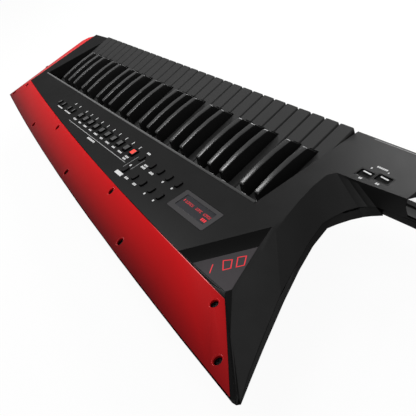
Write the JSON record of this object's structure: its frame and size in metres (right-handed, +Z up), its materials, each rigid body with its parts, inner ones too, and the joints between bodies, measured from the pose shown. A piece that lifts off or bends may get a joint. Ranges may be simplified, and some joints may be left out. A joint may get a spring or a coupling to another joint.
{
  "type": "keytar",
  "caption": "Shoulder keyboard with a tilted keybed, slim neck, octave rockers, modulation bar, pointed horn and a red cover along its sloped rear edge.",
  "frame": {"origin": "centre of the outer box in plan, at the underside of the feet", "axes": "+X toward the high notes, -X toward the neck tip, -Y toward the player, +Z up, standing on its feet"},
  "size_m": [1.2476, 0.2784, 0.0885],
  "materials": {
    "case_black": "satin, fine grain",
    "cover_red": "gloss red, slightly darker toward its lower edge",
    "chassis_steel": "plain zinc-plated sheet",
    "smoke_window": "smoked gloss",
    "number_smoke": "smoked gloss",
    "button_grey": "matt rubbery",
    "button_black": "matt",
    "bar_gloss": "high gloss",
    "key_grey": "satin gloss, dark grey",
    "key_black": "high gloss black"
  },
  "bodies": {
    "case": {"upper_case": "case_black", "lower_case": "case_black", "edge_cover": "cover_red", "key_chassis": "chassis_steel", "display_window": "smoke_window", "number_window": "number_smoke"},
    "white_key_01": {"white_key_01": "key_grey"},
    "white_key_02": {"white_key_02": "key_grey"},
    "white_key_03": {"white_key_03": "key_grey"},
    "white_key_04": {"white_key_04": "key_grey"},
    "white_key_05": {"white_key_05": "key_grey"},
    "white_key_06": {"white_key_06": "key_grey"},
    "white_key_07": {"white_key_07": "key_grey"},
    "white_key_08": {"white_key_08": "key_grey"},
    "white_key_09": {"white_key_09": "key_grey"},
    "white_key_10": {"white_key_10": "key_grey"},
    "white_key_11": {"white_key_11": "key_grey"},
    "white_key_12": {"white_key_12": "key_grey"},
    "white_key_13": {"white_key_13": "key_grey"},
    "white_key_14": {"white_key_14": "key_grey"},
    "white_key_15": {"white_key_15": "key_grey"},
    "white_key_16": {"white_key_16": "key_grey"},
    "white_key_17": {"white_key_17": "key_grey"},
    "white_key_18": {"white_key_18": "key_grey"},
    "white_key_19": {"white_key_19": "key_grey"},
    "white_key_20": {"white_key_20": "key_grey"},
    "white_key_21": {"white_key_21": "key_grey"},
    "white_key_22": {"white_key_22": "key_grey"},
    "white_key_23": {"white_key_23": "key_grey"},
    "white_key_24": {"white_key_24": "key_grey"},
    "white_key_25": {"white_key_25": "key_grey"},
    "white_key_26": {"white_key_26": "key_grey"},
    "white_key_27": {"white_key_27": "key_grey"},
    "white_key_28": {"white_key_28": "key_grey"},
    "white_key_29": {"white_key_29": "key_grey"},
    "black_key_01": {"black_key_01": "key_black"},
    "black_key_02": {"black_key_02": "key_black"},
    "black_key_03": {"black_key_03": "key_black"},
    "black_key_04": {"black_key_04": "key_black"},
    "black_key_05": {"black_key_05": "key_black"},
    "black_key_06": {"black_key_06": "key_black"},
    "black_key_07": {"black_key_07": "key_black"},
    "black_key_08": {"black_key_08": "key_black"},
    "black_key_09": {"black_key_09": "key_black"},
    "black_key_10": {"black_key_10": "key_black"},
    "black_key_11": {"black_key_11": "key_black"},
    "black_key_12": {"black_key_12": "key_black"},
    "black_key_13": {"black_key_13": "key_black"},
    "black_key_14": {"black_key_14": "key_black"},
    "black_key_15": {"black_key_15": "key_black"},
    "black_key_16": {"black_key_16": "key_black"},
    "black_key_17": {"black_key_17": "key_black"},
    "black_key_18": {"black_key_18": "key_black"},
    "black_key_19": {"black_key_19": "key_black"},
    "black_key_20": {"black_key_20": "key_black"},
    "tone_buttons": {"tone_buttons": "button_grey"},
    "menu_buttons": {"menu_buttons": "button_black"},
    "octave_up_switch": {"octave_up_switch": "button_black"},
    "octave_down_switch": {"octave_down_switch": "button_black"},
    "modulation_bar": {"modulation_bar": "bar_gloss"}
  },
  "joints": [
    {"name": "white_key_01_hinge", "type": "hinge", "parent": "case", "child": "white_key_01", "pos_m": [-0.1315, 0.02196, 0.04745], "axis": [1, 0, 0], "range_deg": [0, 3.5], "stiffness_Nm_per_rad": 0.8, "springref_deg": -3.58},
    {"name": "white_key_02_hinge", "type": "hinge", "parent": "case", "child": "white_key_02", "pos_m": [-0.108, 0.02196, 0.04745], "axis": [1, 0, 0], "range_deg": [0, 3.5], "stiffness_Nm_per_rad": 0.8, "springref_deg": -3.58},
    {"name": "white_key_03_hinge", "type": "hinge", "parent": "case", "child": "white_key_03", "pos_m": [-0.0845, 0.02196, 0.04745], "axis": [1, 0, 0], "range_deg": [0, 3.5], "stiffness_Nm_per_rad": 0.8, "springref_deg": -3.58},
    {"name": "white_key_04_hinge", "type": "hinge", "parent": "case", "child": "white_key_04", "pos_m": [-0.061, 0.02196, 0.04745], "axis": [1, 0, 0], "range_deg": [0, 3.5], "stiffness_Nm_per_rad": 0.8, "springref_deg": -3.58},
    {"name": "white_key_05_hinge", "type": "hinge", "parent": "case", "child": "white_key_05", "pos_m": [-0.0375, 0.02196, 0.04745], "axis": [1, 0, 0], "range_deg": [0, 3.5], "stiffness_Nm_per_rad": 0.8, "springref_deg": -3.58},
    {"name": "white_key_06_hinge", "type": "hinge", "parent": "case", "child": "white_key_06", "pos_m": [-0.014, 0.02196, 0.04745], "axis": [1, 0, 0], "range_deg": [0, 3.5], "stiffness_Nm_per_rad": 0.8, "springref_deg": -3.58},
    {"name": "white_key_07_hinge", "type": "hinge", "parent": "case", "child": "white_key_07", "pos_m": [0.0095, 0.02196, 0.04745], "axis": [1, 0, 0], "range_deg": [0, 3.5], "stiffness_Nm_per_rad": 0.8, "springref_deg": -3.58},
    {"name": "white_key_08_hinge", "type": "hinge", "parent": "case", "child": "white_key_08", "pos_m": [0.033, 0.02196, 0.04745], "axis": [1, 0, 0], "range_deg": [0, 3.5], "stiffness_Nm_per_rad": 0.8, "springref_deg": -3.58},
    {"name": "white_key_09_hinge", "type": "hinge", "parent": "case", "child": "white_key_09", "pos_m": [0.0565, 0.02196, 0.04745], "axis": [1, 0, 0], "range_deg": [0, 3.5], "stiffness_Nm_per_rad": 0.8, "springref_deg": -3.58},
    {"name": "white_key_10_hinge", "type": "hinge", "parent": "case", "child": "white_key_10", "pos_m": [0.08, 0.02196, 0.04745], "axis": [1, 0, 0], "range_deg": [0, 3.5], "stiffness_Nm_per_rad": 0.8, "springref_deg": -3.58},
    {"name": "white_key_11_hinge", "type": "hinge", "parent": "case", "child": "white_key_11", "pos_m": [0.1035, 0.02196, 0.04745], "axis": [1, 0, 0], "range_deg": [0, 3.5], "stiffness_Nm_per_rad": 0.8, "springref_deg": -3.58},
    {"name": "white_key_12_hinge", "type": "hinge", "parent": "case", "child": "white_key_12", "pos_m": [0.127, 0.02196, 0.04745], "axis": [1, 0, 0], "range_deg": [0, 3.5], "stiffness_Nm_per_rad": 0.8, "springref_deg": -3.58},
    {"name": "white_key_13_hinge", "type": "hinge", "parent": "case", "child": "white_key_13", "pos_m": [0.1505, 0.02196, 0.04745], "axis": [1, 0, 0], "range_deg": [0, 3.5], "stiffness_Nm_per_rad": 0.8, "springref_deg": -3.58},
    {"name": "white_key_14_hinge", "type": "hinge", "parent": "case", "child": "white_key_14", "pos_m": [0.174, 0.02196, 0.04745], "axis": [1, 0, 0], "range_deg": [0, 3.5], "stiffness_Nm_per_rad": 0.8, "springref_deg": -3.58},
    {"name": "white_key_15_hinge", "type": "hinge", "parent": "case", "child": "white_key_15", "pos_m": [0.1975, 0.02196, 0.04745], "axis": [1, 0, 0], "range_deg": [0, 3.5], "stiffness_Nm_per_rad": 0.8, "springref_deg": -3.58},
    {"name": "white_key_16_hinge", "type": "hinge", "parent": "case", "child": "white_key_16", "pos_m": [0.221, 0.02196, 0.04745], "axis": [1, 0, 0], "range_deg": [0, 3.5], "stiffness_Nm_per_rad": 0.8, "springref_deg": -3.58},
    {"name": "white_key_17_hinge", "type": "hinge", "parent": "case", "child": "white_key_17", "pos_m": [0.2445, 0.02196, 0.04745], "axis": [1, 0, 0], "range_deg": [0, 3.5], "stiffness_Nm_per_rad": 0.8, "springref_deg": -3.58},
    {"name": "white_key_18_hinge", "type": "hinge", "parent": "case", "child": "white_key_18", "pos_m": [0.268, 0.02196, 0.04745], "axis": [1, 0, 0], "range_deg": [0, 3.5], "stiffness_Nm_per_rad": 0.8, "springref_deg": -3.58},
    {"name": "white_key_19_hinge", "type": "hinge", "parent": "case", "child": "white_key_19", "pos_m": [0.2915, 0.02196, 0.04745], "axis": [1, 0, 0], "range_deg": [0, 3.5], "stiffness_Nm_per_rad": 0.8, "springref_deg": -3.58},
    {"name": "white_key_20_hinge", "type": "hinge", "parent": "case", "child": "white_key_20", "pos_m": [0.315, 0.02196, 0.04745], "axis": [1, 0, 0], "range_deg": [0, 3.5], "stiffness_Nm_per_rad": 0.8, "springref_deg": -3.58},
    {"name": "white_key_21_hinge", "type": "hinge", "parent": "case", "child": "white_key_21", "pos_m": [0.3385, 0.02196, 0.04745], "axis": [1, 0, 0], "range_deg": [0, 3.5], "stiffness_Nm_per_rad": 0.8, "springref_deg": -3.58},
    {"name": "white_key_22_hinge", "type": "hinge", "parent": "case", "child": "white_key_22", "pos_m": [0.362, 0.02196, 0.04745], "axis": [1, 0, 0], "range_deg": [0, 3.5], "stiffness_Nm_per_rad": 0.8, "springref_deg": -3.58},
    {"name": "white_key_23_hinge", "type": "hinge", "parent": "case", "child": "white_key_23", "pos_m": [0.3855, 0.02196, 0.04745], "axis": [1, 0, 0], "range_deg": [0, 3.5], "stiffness_Nm_per_rad": 0.8, "springref_deg": -3.58},
    {"name": "white_key_24_hinge", "type": "hinge", "parent": "case", "child": "white_key_24", "pos_m": [0.409, 0.02196, 0.04745], "axis": [1, 0, 0], "range_deg": [0, 3.5], "stiffness_Nm_per_rad": 0.8, "springref_deg": -3.58},
    {"name": "white_key_25_hinge", "type": "hinge", "parent": "case", "child": "white_key_25", "pos_m": [0.4325, 0.02196, 0.04745], "axis": [1, 0, 0], "range_deg": [0, 3.5], "stiffness_Nm_per_rad": 0.8, "springref_deg": -3.58},
    {"name": "white_key_26_hinge", "type": "hinge", "parent": "case", "child": "white_key_26", "pos_m": [0.456, 0.02196, 0.04745], "axis": [1, 0, 0], "range_deg": [0, 3.5], "stiffness_Nm_per_rad": 0.8, "springref_deg": -3.58},
    {"name": "white_key_27_hinge", "type": "hinge", "parent": "case", "child": "white_key_27", "pos_m": [0.4795, 0.02196, 0.04745], "axis": [1, 0, 0], "range_deg": [0, 3.5], "stiffness_Nm_per_rad": 0.8, "springref_deg": -3.58},
    {"name": "white_key_28_hinge", "type": "hinge", "parent": "case", "child": "white_key_28", "pos_m": [0.503, 0.02196, 0.04745], "axis": [1, 0, 0], "range_deg": [0, 3.5], "stiffness_Nm_per_rad": 0.8, "springref_deg": -3.58},
    {"name": "white_key_29_hinge", "type": "hinge", "parent": "case", "child": "white_key_29", "pos_m": [0.5265, 0.02196, 0.04745], "axis": [1, 0, 0], "range_deg": [0, 3.5], "stiffness_Nm_per_rad": 0.8, "springref_deg": -3.58},
    {"name": "black_key_01_hinge", "type": "hinge", "parent": "case", "child": "black_key_01", "pos_m": [-0.12205, 0.02196, 0.04745], "axis": [1, 0, 0], "range_deg": [0, 3.3], "stiffness_Nm_per_rad": 0.8, "springref_deg": -3.58},
    {"name": "black_key_02_hinge", "type": "hinge", "parent": "case", "child": "black_key_02", "pos_m": [-0.09395, 0.02196, 0.04745], "axis": [1, 0, 0], "range_deg": [0, 3.3], "stiffness_Nm_per_rad": 0.8, "springref_deg": -3.58},
    {"name": "black_key_03_hinge", "type": "hinge", "parent": "case", "child": "black_key_03", "pos_m": [-0.05225, 0.02196, 0.04745], "axis": [1, 0, 0], "range_deg": [0, 3.3], "stiffness_Nm_per_rad": 0.8, "springref_deg": -3.58},
    {"name": "black_key_04_hinge", "type": "hinge", "parent": "case", "child": "black_key_04", "pos_m": [-0.02575, 0.02196, 0.04745], "axis": [1, 0, 0], "range_deg": [0, 3.3], "stiffness_Nm_per_rad": 0.8, "springref_deg": -3.58},
    {"name": "black_key_05_hinge", "type": "hinge", "parent": "case", "child": "black_key_05", "pos_m": [0.00075, 0.02196, 0.04745], "axis": [1, 0, 0], "range_deg": [0, 3.3], "stiffness_Nm_per_rad": 0.8, "springref_deg": -3.58},
    {"name": "black_key_06_hinge", "type": "hinge", "parent": "case", "child": "black_key_06", "pos_m": [0.04245, 0.02196, 0.04745], "axis": [1, 0, 0], "range_deg": [0, 3.3], "stiffness_Nm_per_rad": 0.8, "springref_deg": -3.58},
    {"name": "black_key_07_hinge", "type": "hinge", "parent": "case", "child": "black_key_07", "pos_m": [0.07055, 0.02196, 0.04745], "axis": [1, 0, 0], "range_deg": [0, 3.3], "stiffness_Nm_per_rad": 0.8, "springref_deg": -3.58},
    {"name": "black_key_08_hinge", "type": "hinge", "parent": "case", "child": "black_key_08", "pos_m": [0.11225, 0.02196, 0.04745], "axis": [1, 0, 0], "range_deg": [0, 3.3], "stiffness_Nm_per_rad": 0.8, "springref_deg": -3.58},
    {"name": "black_key_09_hinge", "type": "hinge", "parent": "case", "child": "black_key_09", "pos_m": [0.13875, 0.02196, 0.04745], "axis": [1, 0, 0], "range_deg": [0, 3.3], "stiffness_Nm_per_rad": 0.8, "springref_deg": -3.58},
    {"name": "black_key_10_hinge", "type": "hinge", "parent": "case", "child": "black_key_10", "pos_m": [0.16525, 0.02196, 0.04745], "axis": [1, 0, 0], "range_deg": [0, 3.3], "stiffness_Nm_per_rad": 0.8, "springref_deg": -3.58},
    {"name": "black_key_11_hinge", "type": "hinge", "parent": "case", "child": "black_key_11", "pos_m": [0.20695, 0.02196, 0.04745], "axis": [1, 0, 0], "range_deg": [0, 3.3], "stiffness_Nm_per_rad": 0.8, "springref_deg": -3.58},
    {"name": "black_key_12_hinge", "type": "hinge", "parent": "case", "child": "black_key_12", "pos_m": [0.23505, 0.02196, 0.04745], "axis": [1, 0, 0], "range_deg": [0, 3.3], "stiffness_Nm_per_rad": 0.8, "springref_deg": -3.58},
    {"name": "black_key_13_hinge", "type": "hinge", "parent": "case", "child": "black_key_13", "pos_m": [0.27675, 0.02196, 0.04745], "axis": [1, 0, 0], "range_deg": [0, 3.3], "stiffness_Nm_per_rad": 0.8, "springref_deg": -3.58},
    {"name": "black_key_14_hinge", "type": "hinge", "parent": "case", "child": "black_key_14", "pos_m": [0.30325, 0.02196, 0.04745], "axis": [1, 0, 0], "range_deg": [0, 3.3], "stiffness_Nm_per_rad": 0.8, "springref_deg": -3.58},
    {"name": "black_key_15_hinge", "type": "hinge", "parent": "case", "child": "black_key_15", "pos_m": [0.32975, 0.02196, 0.04745], "axis": [1, 0, 0], "range_deg": [0, 3.3], "stiffness_Nm_per_rad": 0.8, "springref_deg": -3.58},
    {"name": "black_key_16_hinge", "type": "hinge", "parent": "case", "child": "black_key_16", "pos_m": [0.37145, 0.02196, 0.04745], "axis": [1, 0, 0], "range_deg": [0, 3.3], "stiffness_Nm_per_rad": 0.8, "springref_deg": -3.58},
    {"name": "black_key_17_hinge", "type": "hinge", "parent": "case", "child": "black_key_17", "pos_m": [0.39955, 0.02196, 0.04745], "axis": [1, 0, 0], "range_deg": [0, 3.3], "stiffness_Nm_per_rad": 0.8, "springref_deg": -3.58},
    {"name": "black_key_18_hinge", "type": "hinge", "parent": "case", "child": "black_key_18", "pos_m": [0.44125, 0.02196, 0.04745], "axis": [1, 0, 0], "range_deg": [0, 3.3], "stiffness_Nm_per_rad": 0.8, "springref_deg": -3.58},
    {"name": "black_key_19_hinge", "type": "hinge", "parent": "case", "child": "black_key_19", "pos_m": [0.46775, 0.02196, 0.04745], "axis": [1, 0, 0], "range_deg": [0, 3.3], "stiffness_Nm_per_rad": 0.8, "springref_deg": -3.58},
    {"name": "black_key_20_hinge", "type": "hinge", "parent": "case", "child": "black_key_20", "pos_m": [0.49425, 0.02196, 0.04745], "axis": [1, 0, 0], "range_deg": [0, 3.3], "stiffness_Nm_per_rad": 0.8, "springref_deg": -3.58},
    {"name": "tone_buttons_press", "type": "slide", "parent": "case", "child": "tone_buttons", "axis": [0, 0, -1], "range_m": [0, 0.0008], "stiffness_N_per_m": 500, "springref_m": -0.002},
    {"name": "menu_buttons_press", "type": "slide", "parent": "case", "child": "menu_buttons", "axis": [0, 0, -1], "range_m": [0, 0.0008], "stiffness_N_per_m": 500, "springref_m": -0.002},
    {"name": "octave_up_switch_press", "type": "slide", "parent": "case", "child": "octave_up_switch", "axis": [0, 0, -1], "range_m": [0, 0.001], "stiffness_N_per_m": 400, "springref_m": -0.002},
    {"name": "octave_down_switch_press", "type": "slide", "parent": "case", "child": "octave_down_switch", "axis": [0, 0, -1], "range_m": [0, 0.001], "stiffness_N_per_m": 400, "springref_m": -0.002},
    {"name": "modulation_bar_hinge", "type": "hinge", "parent": "case", "child": "modulation_bar", "pos_m": [-0.40325, -0.09625, 0.081], "axis": [-1, 0, 0], "range_deg": [0, 6], "stiffness_Nm_per_rad": 2.5, "springref_deg": -2.86}
  ]
}
